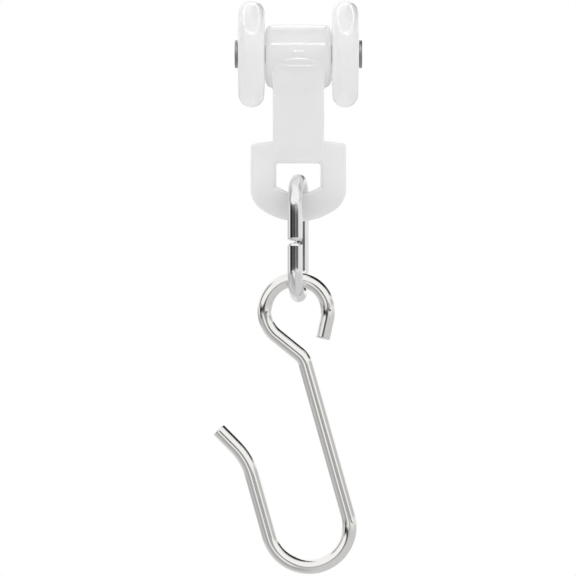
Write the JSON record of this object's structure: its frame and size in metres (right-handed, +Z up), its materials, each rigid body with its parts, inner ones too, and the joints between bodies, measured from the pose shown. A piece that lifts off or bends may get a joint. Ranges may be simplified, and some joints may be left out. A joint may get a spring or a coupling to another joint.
{
  "type": "curtain glider",
  "caption": "Roller curtain glider: a moulded body on wheels that run on a track's lips, with an eye, an oval wire link and an S-shaped wire hook for the curtain.",
  "frame": {"origin": "on the plane that the wheels roll on, midway between the two wheels and below the axle", "axes": "+X along the axle, +Y along the track, +Z up"},
  "size_m": [0.0208, 0.015, 0.0805],
  "materials": {
    "body_nylon": "glossy white nylon, slightly translucent",
    "wheel_nylon": "glossy white nylon, slightly translucent",
    "axle_steel": "plain grey steel",
    "plated_wire": "bright plated steel"
  },
  "bodies": {
    "carrier": {"body": "body_nylon", "axle": "axle_steel"},
    "wheel_left": {"wheel_left": "wheel_nylon"},
    "wheel_right": {"wheel_right": "wheel_nylon"},
    "link": {"link": "plated_wire"},
    "hook": {"hook": "plated_wire"}
  },
  "joints": [
    {"name": "wheel_left_spin", "type": "hinge", "parent": "carrier", "child": "wheel_left", "pos_m": [-0.00658, 0, 0.0075], "axis": [1, 0, 0], "continuous": true},
    {"name": "wheel_right_spin", "type": "hinge", "parent": "carrier", "child": "wheel_right", "pos_m": [0.00658, 0, 0.0075], "axis": [1, 0, 0], "continuous": true},
    {"name": "link_swing", "type": "hinge", "parent": "carrier", "child": "link", "pos_m": [0, 0, -0.01382], "axis": [1, 0, 0], "range_deg": [-105, 105]},
    {"name": "hook_swing", "type": "hinge", "parent": "link", "child": "hook", "pos_m": [0, 0, -0.0263], "axis": [0, 1, 0], "range_deg": [-100, 100]}
  ]
}
